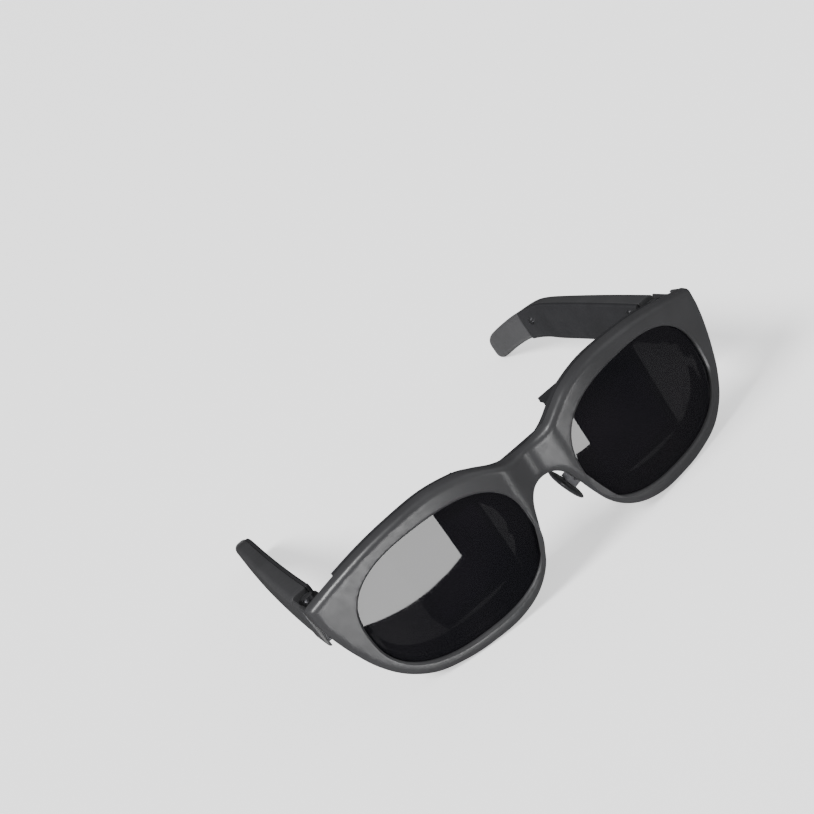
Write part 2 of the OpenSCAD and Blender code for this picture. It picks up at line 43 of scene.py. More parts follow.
# ---------------------------------------------------------------- sizes, as the CAD model has them
WRAP_R = 192 * MM  # radius of the wrapped front
FRONT_T = 4.6 * MM  # thickness of the front
LENS_Z = 25 * MM  # height of the lens centre line
Y_MID = 80.521 * MM  # from the foremost line back to the model's middle
LENS_X, LENS_DROP = 37.6 * MM, 1 * MM  # middle of a lens opening, outward and down
LENS_A, LENS_B = 27.2 * MM, 19.7 * MM  # half width and half height of the opening
LEAN, ROUNDNESS = 0.03, 2.5  # slant of the opening, and the power of its oblong
LENS_INSET, LENS_T = 1.3 * MM, 1.75 * MM  # how deep the lens lies in the front, and its thickness
LENS_LIP = 0.9 * MM  # how far the lens reaches past its opening
TILT_Y, HINGE_Z = 24 * MM, 4.5 * MM  # the tilt axis
FOLD_X, FOLD_DY = 69.5 * MM, 9 * MM  # the fold axis, and how far behind the tilt axis it is
RAKE = math.radians(5)  # the temples' slope down to the back
TEMPLE_START, SHELL_END, TEMPLE_LEN = 5 * MM, 92 * MM, 129.5 * MM  # all from the fold axis
ROOT_H, TIP_H, TAPER_FROM, TAPER_TO = 15 * MM, 11 * MM, 66 * MM, 100 * MM  # heights, and where they change
ROOT_T, TIP_T, COVER_T = 7.5 * MM, 5.6 * MM, 1.3 * MM  # thicknesses of the temple and its inner cover
DROP_FROM, TIP_DROP, TIP_BOW = 76 * MM, 13.2 * MM, 7 * MM  # the ear bend, its drop, and the inward bow
TIP_ROUND = 7 * MM  # length of the tip's rounded end
ROCKER = (24 * MM, 13.4 * MM, 1.5 * MM)  # each key's place along the temple, length and half width
BUTTON = (39 * MM, 5.4 * MM, 1.4 * MM)
KEY_GAP = 0.22 * MM  # room round a key
SPEAKER_U, SPEAKER_HALF_W, SPEAKER_HALF_L = 58 * MM, 1.35 * MM, 7 * MM  # the slot under the speaker mesh
KNUCKLE_HALF_W, KNUCKLE_HALF_H = 1.35 * MM, 3.35 * MM  # the temple hinge where it enters the shell
PORT_U, PORT_HALF_W, PORT_HALF_H = 128.6 * MM, 1.62 * MM, 4.47 * MM  # the port in the left tip's end
PORT_SLOPE = math.radians(-14)
CAP_X, CAP_THICK, CAP_H = 72.9 * MM, 1.1 * MM, 7.4 * MM  # hinge cap: inner side, thickness, half height
PAD = Vector((11.2, 15.5, -7)) * MM  # middle of a nose pad, from the lens centre line
PAD_A, PAD_B, PAD_HALF_T = 6.9 * MM, 4.1 * MM, 1.1 * MM  # half its height, width and thickness
WIRE_R = 0.58 * MM  # radius of the wires that carry the pads

# The front's outer edge on the wearer's left, from the lens centre line, in mm
TOP_EDGE = [(0, 16), (4, 16.2), (9, 17.8), (14, 20.6), (20, 23.3), (30, 24.9), (41, 24.1),
            (52, 22.1), (63, 18.8), (71, 15.8), (74, 14.6)]
LOW_EDGE = [(74, 12.6), (73.8, 8), (72.6, 2), (70.6, -4.5), (67.6, -11.5), (62.8, -18), (55.5, -22.8),
            (46, -24.7), (38, -24.93), (28.5, -24.2), (20, -21.1), (13.8, -15.6), (10.6, -9),
            (8.4, -2.8), (6.2, 2), (3.4, 4.6), (0, 5.3)]


# ---------------------------------------------------------------- curves
def smooth_curve(points, steps):
    """A smooth open curve through the points."""
    p = np.array(points, float)
    out = []
    for i in range(len(p) - 1):
        a, b, c, d = p[max(i - 1, 0)], p[i], p[i + 1], p[min(i + 2, len(p) - 1)]
        for k in range(steps):
            t = k / steps
            out.append(0.5 * (2 * b + (c - a) * t + (2 * a - 5 * b + 4 * c - d) * t * t
                              + (3 * b - 3 * c + d - a) * t ** 3))
    out.append(p[-1])
    return np.array(out)


def resample(loop, count):
    """The same closed loop with count points at equal spacing."""
    closed = np.vstack([loop, loop[:1]])
    length = np.r_[0, np.cumsum(np.linalg.norm(np.diff(closed, axis=0), axis=1))]
    at = np.linspace(0, length[-1], count, endpoint=False)
    return np.stack([np.interp(at, length, closed[:, i]) for i in (0, 1)], 1)


def relax(loop, passes):
    """Rounds off small corners of a closed loop."""
    for _ in range(passes):
        loop = 0.5 * loop + 0.25 * (np.roll(loop, 1, 0) + np.roll(loop, -1, 0))
    return loop


def inward(loop):
    """Unit normals of a closed loop, pointing into it."""
    step = np.roll(loop, -1, 0) - np.roll(loop, 1, 0)
    normal = np.stack([-step[:, 1], step[:, 0]], 1)
    normal /= np.linalg.norm(normal, axis=1)[:, None]
    area = np.sum(loop[:, 0] * np.roll(loop[:, 1], -1) - np.roll(loop[:, 0], -1) * loop[:, 1])
    return normal if area > 0 else -normal


def front_loop():
    """The front's outer edge, all the way round."""
    half = np.vstack([smooth_curve(TOP_EDGE, 10), smooth_curve(LOW_EDGE, 8)])
    other = half[1:-1][::-1] * [-1, 1]
    return relax(resample(np.vstack([half, other]) * MM, 640), 3)


def oblong(a, b, power, lean, count):
    """A rounded oblong of half width a and half height b, slanted by lean."""
    t = np.linspace(0, 2 * math.pi, count, endpoint=False)
    x = a * np.sign(np.cos(t)) * np.abs(np.cos(t)) ** (2 / power)
    z = b * np.sign(np.sin(t)) * np.abs(np.sin(t)) ** (2 / power)
    return np.stack([x, z - lean * x], 1)


def lens_loop(grow, side, count):
    """The edge of a lens opening, grown outward."""
    loop = resample(oblong(LENS_A + grow, LENS_B + grow, ROUNDNESS, LEAN, 480), count)
    loop = loop + [LENS_X, -LENS_DROP]
    return loop * [side, 1]


# ---------------------------------------------------------------- places
def sag(x, depth=0.0):
    """How far behind the foremost line a wrapped layer lies at distance x from the middle."""
    return WRAP_R - np.sqrt((WRAP_R - depth) ** 2 - x * x)


def on_front(p):
    """From the lens centre line's coordinates to the model's."""
    return np.asarray(p, float) + [0, -Y_MID, LENS_Z]


HINGE = Matrix.Translation((0, TILT_Y - Y_MID, LENS_Z + HINGE_Z)) @ Matrix.Rotation(-RAKE, 4, "X")
TEMPLE = HINGE @ Matrix.Translation((FOLD_X, FOLD_DY, 0))
MIRROR = Matrix.Diagonal((-1, 1, 1, 1))


def placed(matrix, side):
    """The matrix for this side, from the one for the wearer's left."""
    return (MIRROR @ matrix) if side < 0 else matrix


# ---------------------------------------------------------------- mesh building
def new_object(name, bm, material, body, replaces, angle, matrix=None):
    """Turns a bmesh into a finished piece, with sharp edges from this angle up."""
    if matrix is not None:
        bmesh.ops.transform(bm, matrix=matrix, verts=bm.verts)
        if matrix.determinant() < 0:
            bmesh.ops.reverse_faces(bm, faces=bm.faces)
    bmesh.ops.recalc_face_normals(bm, faces=bm.faces)
    mesh = bpy.data.meshes.new(name)
    bm.to_mesh(mesh)
    bm.free()
    obj = bpy.data.objects.new(name, mesh)
    bpy.context.scene.collection.objects.link(obj)
    mesh.polygons.foreach_set("use_smooth", [True] * len(mesh.polygons))
    mesh.set_sharp_from_angle(angle=math.radians(angle))
    mesh.materials.append(material)
    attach(obj, body)
    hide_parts(*replaces)
    return obj


def add_ring(bm, points):
    return [bm.verts.new(p) for p in points]


def bridge(bm, rows):
    """Joins each ring of vertices to the next."""
    for a, b in zip(rows, rows[1:]):
        n = len(a)
        for i in range(n):
            bm.faces.new((a[i], a[(i + 1) % n], b[(i + 1) % n], b[i]))


def loft(rings):
    """A closed skin through rings of the same length."""
    bm = bmesh.new()
    rows = [add_ring(bm, r) for r in rings]
    bridge(bm, rows)
    bm.faces.new(rows[0][::-1])
    bm.faces.new(rows[-1])
    return bm


def slice_grid(bm, axis, places):
    """Cuts every face at these places along an axis, so that it can bend."""
    normal = Vector((0, 0, 0))
    normal[axis] = 1
    for place in places:
        co = Vector((0, 0, 0))
        co[axis] = place
        bmesh.ops.bisect_plane(bm, geom=bm.verts[:] + bm.edges[:] + bm.faces[:], dist=1e-7,
                               plane_co=co, plane_no=normal)


def plate(outer, holes, outer_rings, hole_rings, x_cuts, z_cuts):
    """A flat plate in x and z, with y for depth, to be bent later.

    The rings of its edges are (offset into the plate, depth), from front to back.
    """
    bm = bmesh.new()
    front_edges, back_edges = [], []

    def wall(loop, normal, rings):
        rows = []
        for offset, depth in rings:
            p = loop + normal * (offset if np.ndim(offset) == 0 else offset[:, None])
            d = np.broadcast_to(depth, len(loop))
            rows.append(add_ring(bm, np.stack([p[:, 0], d, p[:, 1]], 1)))
        bridge(bm, rows)
        for row, edges in ((rows[0], front_edges), (rows[-1], back_edges)):
            edges += [bm.edges.get((row[i], row[(i + 1) % len(row)])) for i in range(len(row))]

    wall(outer, inward(outer), outer_rings)
    for hole in holes:
        wall(hole, -inward(hole), hole_rings)
    for edges in (front_edges, back_edges):
        bmesh.ops.triangle_fill(bm, use_beauty=True, use_dissolve=False, edges=edges)
    slice_grid(bm, 0, x_cuts)
    slice_grid(bm, 2, z_cuts)
    return bm


def bend(bm, extra):
    """Wraps a flat plate: depth becomes distance behind the wrapped front surface, and extra adds to it."""
    for v in bm.verts:
        x, d, z = v.co
        v.co = on_front((x, sag(x, d) + extra(x, d), z))


def soften_edges(obj, width):
    m = obj.modifiers.new("edges", "BEVEL")
    m.width = width
    m.segments = 3
    m.limit_method = "ANGLE"
    m.angle_limit = math.radians(35)


# ---------------------------------------------------------------- materials
def new_material(name):
    """A material, its nodes, its shader, and the object's own coordinates."""
    m = bpy.data.materials.new(name)
    m.use_nodes = True
    nt = m.node_tree
    nt.nodes.clear()
    out = nt.nodes.new("ShaderNodeOutputMaterial")
    bsdf = nt.nodes.new("ShaderNodeBsdfPrincipled")
    nt.links.new(bsdf.outputs[0], out.inputs[0])
    coord = nt.nodes.new("ShaderNodeTexCoord")
    return m, nt, bsdf, coord.outputs["Object"]


def noise(nt, coords, scale, detail=3.0, stretch=None):
    if stretch:
        mapping = nt.nodes.new("ShaderNodeMapping")
        mapping.inputs["Scale"].default_value = stretch
        nt.links.new(coords, mapping.inputs[0])
        coords = mapping.outputs[0]
    n = nt.nodes.new("ShaderNodeTexNoise")
    n.inputs["Scale"].default_value = scale
    n.inputs["Detail"].default_value = detail
    nt.links.new(coords, n.inputs["Vector"])
    return n.outputs["Fac"]


def spread(nt, value, low, high):
    """Maps the middle of a noise, where most of it lies, to a range."""
    r = nt.nodes.new("ShaderNodeMapRange")
    r.inputs["From Min"].default_value = 0.3
    r.inputs["From Max"].default_value = 0.7
    r.inputs["To Min"].default_value = low
    r.inputs["To Max"].default_value = high
    nt.links.new(value, r.inputs["Value"])
    return r.outputs[0]


def tint(nt, value, dark, light):
    """Maps a noise to colours between two."""
    ramp = nt.nodes.new("ShaderNodeValToRGB")
    ramp.color_ramp.elements[0].position = 0.35
    ramp.color_ramp.elements[1].position = 0.65
    ramp.color_ramp.elements[0].color = (*dark, 1)
    ramp.color_ramp.elements[1].color = (*light, 1)
    nt.links.new(value, ramp.inputs[0])
    return ramp.outputs[0]


def bump(nt, bsdf, value, strength, distance):
    """Lets a noise raise the surface by up to this distance."""
    b = nt.nodes.new("ShaderNodeBump")
    b.inputs["Strength"].default_value = strength
    b.inputs["Distance"].default_value = distance
    nt.links.new(value, b.inputs["Height"])
    nt.links.new(b.outputs[0], bsdf.inputs["Normal"])


def moulded(name, color, rough, grain, strength, depth=0.02 * MM, coat=0.0, sheen=0.0):
    """Moulded plastic or rubber: fine spark-eroded grain, slow changes of tone and gloss."""
    m, nt, bsdf, coords = new_material(name)
    slow = noise(nt, coords, 60, 2)
    c = np.array(color)
    nt.links.new(tint(nt, slow, tuple(c * 0.92), tuple(c * 1.08)), bsdf.inputs["Base Color"])
    nt.links.new(spread(nt, noise(nt, coords, 340, 4), *rough), bsdf.inputs["Roughness"])
    bump(nt, bsdf, noise(nt, coords, grain, 2), strength, depth)
    bsdf.inputs["Coat Weight"].default_value = coat
    bsdf.inputs["Coat Roughness"].default_value = 0.2
    bsdf.inputs["Sheen Weight"].default_value = sheen
    return m


def metal(name, color, rough=(0.22, 0.36)):
    """Brushed or turned metal with fine lines."""
    m, nt, bsdf, coords = new_material(name)
    lines = noise(nt, coords, 1.0, 3, stretch=(40, 2200, 2200))
    c = np.array(color)
    nt.links.new(tint(nt, lines, tuple(c * 0.85), tuple(c * 1.12)), bsdf.inputs["Base Color"])
    nt.links.new(spread(nt, lines, *rough), bsdf.inputs["Roughness"])
    bump(nt, bsdf, lines, 0.15, 0.01 * MM)
    bsdf.inputs["Metallic"].default_value = 1.0
    return m


def lens_material():
    """Near-black glossy shade that lets a little of the optics show."""
    m, nt, bsdf, coords = new_material("dark_lens")
    slow = noise(nt, coords, 30, 2)
    nt.links.new(tint(nt, slow, (0.006, 0.006, 0.0075), (0.009, 0.0085, 0.010)), bsdf.inputs["Base Color"])
    nt.links.new(spread(nt, noise(nt, coords, 80, 2), 0.012, 0.02), bsdf.inputs["Roughness"])
    bsdf.inputs["IOR"].default_value = 1.5
    bsdf.inputs["Alpha"].default_value = 0.93
    return m


def optic_material(name, color, alpha, glow=0.0):
    """Coated glass. A glow above zero adds a faint painted glow, emission in a noise pattern, though the
    glass is no lamp.
    """
    m, nt, bsdf, coords = new_material(name)
    film = noise(nt, coords, 45, 2)
    c = np.array(color)
    nt.links.new(tint(nt, film, tuple(c * 0.6), tuple(c)), bsdf.inputs["Base Color"])
    nt.links.new(spread(nt, noise(nt, coords, 600, 2), 0.03, 0.075), bsdf.inputs["Roughness"])
    # Painted glow: faint emission in a noise pattern, not light from any lamp
    if glow:
        painted_glow_noise = noise(nt, coords, 70, 3)
        nt.links.new(tint(nt, painted_glow_noise, tuple(c * 0.3), tuple(c)), bsdf.inputs["Emission Color"])
        bsdf.inputs["Emission Strength"].default_value = glow
    bsdf.inputs["Metallic"].default_value = 0.6
    bsdf.inputs["Alpha"].default_value = alpha
    return m


def board_material():
    """Green circuit board with a grid of traces."""
    m, nt, bsdf, coords = new_material("circuit_board")
    traces = nt.nodes.new("ShaderNodeTexBrick")
    traces.inputs["Scale"].default_value = 900
    traces.inputs["Color1"].default_value = (0.01, 0.09, 0.04, 1)
    traces.inputs["Color2"].default_value = (0.015, 0.12, 0.05, 1)
    traces.inputs["Mortar"].default_value = (0.03, 0.2, 0.09, 1)
    nt.links.new(coords, traces.inputs["Vector"])
    nt.links.new(traces.outputs["Color"], bsdf.inputs["Base Color"])
    nt.links.new(spread(nt, noise(nt, coords, 500), 0.25, 0.4), bsdf.inputs["Roughness"])
    return m


FRAME = moulded("frame_charcoal", (0.042, 0.042, 0.044), (0.34, 0.42), 3200, 0.1, 0.01 * MM, coat=0.12)
INNER = moulded("inner_black", (0.022, 0.022, 0.024), (0.42, 0.55), 2400, 0.3)
SEAL = moulded("seal_rubber", (0.012, 0.012, 0.012), (0.5, 0.6), 2000, 0.3)
PAD_RUBBER = moulded("pad_silicone", (0.03, 0.03, 0.032), (0.32, 0.45), 1800, 0.15, 0.01 * MM, sheen=0.1)
TIP_RUBBER = moulded("tip_soft_touch", (0.038, 0.038, 0.04), (0.5, 0.62), 2600, 0.25, 0.015 * MM, sheen=0.08)
KEY = moulded("key_satin", (0.12, 0.12, 0.125), (0.28, 0.36), 2400, 0.15, 0.01 * MM)
CARRIER = moulded("pad_carrier", (0.16, 0.16, 0.17), (0.25, 0.35), 1500, 0.1)
MESH = moulded("speaker_mesh", (0.015, 0.015, 0.015), (0.4, 0.5), 5000, 0.5)
STEEL = metal("spring_steel", (0.55, 0.55, 0.57))
DARK_METAL = metal("hinge_metal", (0.16, 0.16, 0.17), (0.28, 0.4))
SCREW = metal("screw_steel", (0.5, 0.5, 0.52), (0.2, 0.3))
PORT = metal("port_steel", (0.6, 0.6, 0.62), (0.18, 0.28))
LENS = lens_material()
# The combiner carries a faint painted glow
COMBINER = optic_material("combiner_coat", (0.5, 0.3, 0.75), 1.0, glow=0.4)
SPLITTER = optic_material("splitter_coat", (0.30, 0.28, 0.40), 0.45)
FIELD = optic_material("field_glass", (0.45, 0.47, 0.55), 0.5)
DISPLAY = moulded("display_panel", (0.02, 0.02, 0.05), (0.1, 0.16), 1200, 0.05)
BOARD = board_material()
FLEX = moulded("flex_amber", (0.42, 0.2, 0.04), (0.3, 0.4), 900, 0.2)

# CAD nodes that keep their own mesh, by name without the side: material, and width of soft edges in mm
CAD_LOOKS = {
    "rear_cover": (INNER, 0.35), "sensor_window": (LENS, 0.15), "sensor_board": (BOARD, 0),
    "bridge_flex": (FLEX, 0), "lens_seal": (SEAL, 0), "optic_housing": (INNER, 0.35),
    "combiner": (COMBINER, 0), "beam_splitter": (SPLITTER, 0), "field_lens": (FIELD, 0),
    "display": (DISPLAY, 0.1), "nose_bracket": (DARK_METAL, 0.2), "pad_core": (CARRIER, 0.3),
    "hinge_base": (DARK_METAL, 0.15), "tilt_pins": (STEEL, 0.1), "detent_plates": (STEEL, 0),
    "frame_screws": (SCREW, 0.08), "hinge_screws": (SCREW, 0.08), "hinge_block": (DARK_METAL, 0.25),
    "fold_pin": (STEEL, 0.15), "temple_hinge": (DARK_METAL, 0.15), "temple_board": (BOARD, 0.05),
    "speaker": (INNER, 0.3), "speaker_mesh": (MESH, 0.05), "temple_core": (STEEL, 0),
    "temple_screws": (SCREW, 0.08), "usb_port_shell": (PORT, 0.08), "usb_tongue": (INNER, 0.08),
    "brightness_rocker": (KEY, 0.35), "rocker_pin": (STEEL, 0), "mode_button": (KEY, 0.35),
}


def dress_cad_nodes():
    """Better materials and softened edges on the CAD nodes that stay."""
    for name, obj in NODES.items():
        look = CAD_LOOKS.get(name.replace("left_", "").replace("right_", ""))
        if not look:
            continue
        material, edge = look
        for s in obj.material_slots:
            s.link = "OBJECT"
            s.material = material
        if edge:
            soften_edges(obj, edge * MM)


# ---------------------------------------------------------------- front
SADDLE_HALF_W, SADDLE_DEPTH = 11 * MM, 2.9 * MM  # the scoop in the bridge's front
BRIDGE_HALF_W, BRIDGE_BACK, BRIDGE_STEP = 8.9 * MM, 1.35 * MM, 1.4 * MM  # the thicker part at its back
END_WALL = 1.55 * MM  # how far behind the tilt axis the end walls reach


def bell(x, width):
    """1 in the middle, falling smoothly to 0 at this distance."""
    return 0.5 + 0.5 * math.cos(math.pi * min(abs(x) / width, 1))


def saddle(x, d):
    """The bridge is scooped at the front and thicker at the back."""
    forward = 1 - d / FRONT_T
    back = min(max((BRIDGE_HALF_W - abs(x)) / BRIDGE_STEP, 0), 1)
    back = back * back * (3 - 2 * back) * BRIDGE_BACK
    return bell(x, SADDLE_HALF_W) * SADDLE_DEPTH * max(forward, 0) + back * (1 - forward)


def end_wall_share(loop):
    """1 where the side wall runs back over the hinge, at the outer corners, and 0 elsewhere."""
    x, z = np.abs(loop[:, 0]), loop[:, 1]
    share = np.clip((x - 71.6 * MM) / (0.7 * MM), 0, 1)
    share *= np.clip((z + 3.4 * MM) / (1.6 * MM), 0, 1) * np.clip((14.2 * MM - z) / (1.2 * MM), 0, 1)
    return share * share * (3 - 2 * share)


def make_front():
    """The frame in one piece: a plate with rounded edges and two lens openings, wrapped round the face."""
    outer = front_loop()
    end_y = TILT_Y + END_WALL + (outer[:, 1] - HINGE_Z) * math.tan(RAKE)
    end_depth = WRAP_R - np.hypot(WRAP_R - end_y, outer[:, 0])
    back = FRONT_T + end_wall_share(outer) * (end_depth - FRONT_T)
    # A wide soft rounding at the front, a small one at the back, and a step in behind the end walls
    outer_rings = [(2.2 * MM, 0), (1.5 * MM, 0.08 * MM), (0.95 * MM, 0.28 * MM), (0.5 * MM, 0.62 * MM),
                   (0.2 * MM, 1.05 * MM), (0.04 * MM, 1.6 * MM), (0, 2.2 * MM),
                   (0, back - 0.9 * MM), (0.08 * MM, back - 0.45 * MM), (0.3 * MM, back - 0.12 * MM),
                   (0.6 * MM, back), (1.1 * MM, back), (1.7 * MM, FRONT_T)]
    hole_rings = [(0.75 * MM, 0), (0.6 * MM, 0.03 * MM), (0.1 * MM, 0.5 * MM), (0, 0.62 * MM),
                  (0, FRONT_T - 0.2 * MM), (0.15 * MM, FRONT_T)]
    holes = [lens_loop(0, s, 220) for s in (-1, 1)]
    # Finer over the bridge, where the plate bends most
    x_cuts = np.r_[np.arange(-72, -14, 2), np.arange(-14, 14.1, 0.7), np.arange(16, 73, 2)] * MM
    z_cuts = np.arange(-24, 25, 2) * MM
    bm = plate(outer, holes, outer_rings, hole_rings, x_cuts, z_cuts)
    bend(bm, saddle)
    shell = new_object("front_frame_shell", bm, FRAME, "front", ["front_frame"], 38)
    even = shell.modifiers.new("even shading", "WEIGHTED_NORMAL")
    even.keep_sharp = True


def make_lens(name, side):
    """One lens: rings shrinking to its middle on the front face, round the edge, and back."""
    loop = lens_loop(LENS_LIP, side, 200)
    middle = np.array([side * LENS_X, -LENS_DROP])
    shares = list(np.linspace(0.02, 0.985, 26)) + [1.0]
    edge_step = 0.12 * MM
    bm = bmesh.new()

    def row(share, d):
        p = middle + (loop - middle) * share
        return add_ring(bm, [on_front((x, sag(x, LENS_INSET + d), z)) for x, z in p])

    rows = [row(s, 0) for s in shares[:-1]]
    rows += [row(1.0, edge_step), row(1.0, LENS_T - 0.15 * MM)]
    rows += [row(s, LENS_T) for s in shares[-2::-3]]
    bridge(bm, rows)
    bm.faces.new(rows[0][::-1])
    bm.faces.new(rows[-1])
    new_object(name + "_shade", bm, LENS, "front", [name], 50)


# ---------------------------------------------------------------- temples
# In a temple's own frame, u runs back from the fold axis, v up and w outward
def smooth_step(u, lo, hi):
    """From 0 at lo smoothly to 1 at hi."""
    t = min(max((u - lo) / (hi - lo), 0), 1)
    return t * t * (3 - 2 * t)


def mid_v(u):
    """Height of the temple's middle line."""
    return 0 if u < DROP_FROM else -TIP_DROP * ((u - DROP_FROM) / (TEMPLE_LEN - DROP_FROM)) ** 1.5


def mid_w(u):
    """How far outward the temple's middle line is."""
    return 0.5 * MM - TIP_BOW * (u / TEMPLE_LEN) ** 2


def end_round(u):
    """1 along the temple, falling to 0 over the tip's rounded end."""
    return max(0.0, 1 - max(0, (u - TEMPLE_LEN + TIP_ROUND) / TIP_ROUND) ** 4) ** 0.25


def half_h(u):
    """Half the temple's height."""
    return (ROOT_H + (TIP_H - ROOT_H) * smooth_step(u, TAPER_FROM, TAPER_TO)) / 2 * end_round(u)


def half_t(u):
    """Half the temple's thickness."""
    return (ROOT_T + (TIP_T - ROOT_T) * u / TEMPLE_LEN) / 2 * (0.6 + 0.4 * end_round(u))


def section(w0, w1, v0, v1, r_in, r_out):
    """Rounded oblong in w and v: r_in rounds the side at w0, r_out the side at w1."""
    limit = min((w1 - w0) / 2, (v1 - v0) / 2) * 0.98
    r_in, r_out = min(r_in, limit), min(r_out, limit)
    corners = [(w1 - r_out, v1 - r_out, r_out, 0), (w0 + r_in, v1 - r_in, r_in, 90),
               (w0 + r_in, v0 + r_in, r_in, 180), (w1 - r_out, v0 + r_out, r_out, 270)]
    points = []
    for cw, cv, r, start in corners:
        for a in np.radians(np.linspace(start, start + 90, 7)):
            points.append((cw + r * math.cos(a), cv + r * math.sin(a)))
    return points


def rings_along(us, shrinks, part):
    """Rings across the temple at the places us, where part gives the two sides and the corner radii.

    shrinks draws single rings in, by their number, to round an edge.
    """
    rings = []
    for i, u in enumerate(us):
        shrink = shrinks.get(i, 0)
        w0, w1, r_in, r_out = part(u)
        v0, v1 = mid_v(u) - half_h(u), mid_v(u) + half_h(u)
        side = min(shrink, (w1 - w0) * 0.3)
        ring = section(w0 + side, w1 - side, v0 + shrink, v1 - shrink, r_in, r_out)
        rings.append([(w, u, v) for w, v in ring])
    return rings


def shell_rings(part, bevel):
    """Rings of a moulding that runs from the hinge to the tip, with both ends bevelled."""
    u0, u1 = TEMPLE_START, SHELL_END
    us = [u0, u0 + bevel * 0.3, u0 + bevel]
    us += list(np.linspace(u0 + bevel, u1 - bevel, 44)[1:-1])
    us += [u1 - bevel, u1 - bevel * 0.3, u1]
    last = len(us) - 1
    return rings_along(us, {0: bevel, 1: bevel * 0.3, last - 1: bevel * 0.3, last: bevel}, part)


# Each part gives its inner and its outer side, and the corner radii of the two
def shell_part(u):
    return mid_w(u) - half_t(u) + COVER_T + 0.08 * MM, mid_w(u) + half_t(u), 0.25 * MM, 2.1 * MM


def cover_part(u):
    w = mid_w(u) - half_t(u)
    return w, w + COVER_T, 0.75 * MM, 0.1 * MM


def tip_part(u):
    return mid_w(u) - half_t(u), mid_w(u) + half_t(u), 2.2 * MM, 2.2 * MM


def tip_rings():
    """Rings of the soft tip, closing to its rounded end."""
    u0 = SHELL_END + 0.1 * MM
    us = [u0, u0 + 0.15 * MM, u0 + 0.4 * MM]
    us += list(np.linspace(u0 + 1 * MM, TEMPLE_LEN - TIP_ROUND, 26))
    us += [TEMPLE_LEN - TIP_ROUND * (1 - math.sin(math.radians(a)))
           for a in (12, 24, 36, 48, 58, 67, 75, 82, 87)]
    return rings_along(us, {0: 0.4 * MM, 1: 0.12 * MM}, tip_part)


def cutter(name, lo, hi, matrix):
    """A hidden box that cuts an opening."""
    bm = bmesh.new()
    bmesh.ops.create_cube(bm, size=1)
    size, middle = Vector(hi) - Vector(lo), (Vector(hi) + Vector(lo)) / 2
    matrix = matrix @ Matrix.Translation(middle) @ Matrix.Diagonal((*size, 1))
    bmesh.ops.transform(bm, matrix=matrix, verts=bm.verts)
    mesh = bpy.data.meshes.new(name)
    bm.to_mesh(mesh)
    bm.free()
    return bpy.data.objects.new(name, mesh)


def cut(obj, tools):
    """Takes the tools out of obj and deletes them."""
    for tool in tools:
        bpy.context.scene.collection.objects.link(tool)
        m = obj.modifiers.new("cut", "BOOLEAN")
        m.object = tool
        m.operation = "DIFFERENCE"
        m.solver = "EXACT"
    bpy.context.view_layer.update()
    evaluated = obj.evaluated_get(bpy.context.evaluated_depsgraph_get())
    mesh = bpy.data.meshes.new_from_object(evaluated)
    obj.modifiers.clear()
    obj.data = mesh
    for tool in tools:
        bpy.data.objects.remove(tool)


def make_temple(side):
    """Outer shell, inner cover and soft tip of one temple, with their openings."""
    name = "left" if side > 0 else "right"
    body = name + "_temple"
    at = placed(TEMPLE, side)
    shell = new_object(body + "_outer", loft(shell_rings(shell_part, 0.5 * MM)), FRAME, body,
                       [body + "_shell"], 35, at)
    new_object(body + "_inner", loft(shell_rings(cover_part, 0.3 * MM)), INNER, body,
               [body + "_cover"], 35, at)
    tip = new_object(body + "_sleeve", loft(tip_rings()), TIP_RUBBER, body, [body + "_tip"], 40, at)
    below = -9 * MM
    w = mid_w(SPEAKER_U)
    tools = [cutter("speaker_slot", (w - SPEAKER_HALF_W, SPEAKER_U - SPEAKER_HALF_L, below),
                    (w + SPEAKER_HALF_W, SPEAKER_U + SPEAKER_HALF_L, -5 * MM), at),
             cutter("hinge_slot", (-KNUCKLE_HALF_W, 4 * MM, -KNUCKLE_HALF_H),
                    (KNUCKLE_HALF_W, 19 * MM, KNUCKLE_HALF_H), at)]
    if side < 0:
        for u, length, half in (ROCKER, BUTTON):
            tools.append(cutter("key_slot", (-half - KEY_GAP, u - length / 2 - KEY_GAP, below),
                                (half + KEY_GAP, u + length / 2 + KEY_GAP, -3.4 * MM), at))
    cut(shell, tools)
    if side > 0:
        u = TEMPLE_LEN - 4 * MM
        place = at @ Matrix.Translation((mid_w(u), PORT_U, mid_v(u) - 0.6 * MM))
        place = place @ Matrix.Rotation(PORT_SLOPE, 4, "X")
        cut(tip, [cutter("port_slot", (-PORT_HALF_W, -8 * MM, -PORT_HALF_H),
                         (PORT_HALF_W, 4 * MM, PORT_HALF_H), place)])


def make_cap(side):
    """Cap on the outside of the tilting block, which carries the temple's line forward."""
    name = "left" if side > 0 else "right"
    y0, y1 = 2.7 * MM, FOLD_DY + 3.9 * MM
    corner = 2.2 * MM
    rings = []
    for y, shrink in ((y0, 0.4), (y0 + 0.12 * MM, 0.12), (y0 + 0.4 * MM, 0), (y1 - 0.4 * MM, 0),
                      (y1 - 0.12 * MM, 0.12), (y1, 0.4)):
        s = shrink * MM
        ring = []
        for start, up in ((270, -1), (0, 1)):
            for a in np.radians(np.linspace(start, start + 90, 9)):
                ring.append((CAP_X + (CAP_THICK - s) * math.cos(a),
                             up * (CAP_H - corner) + (corner - s) * math.sin(a)))
        ring += [(CAP_X - 0.1 * MM, CAP_H - s), (CAP_X - 0.1 * MM, s - CAP_H)]
        rings.append([(x, y, v) for x, v in ring])
    new_object(name + "_hinge_cap", loft(rings), FRAME, name + "_hinge", [name + "_hinge_cheek"],
               35, placed(HINGE, side))


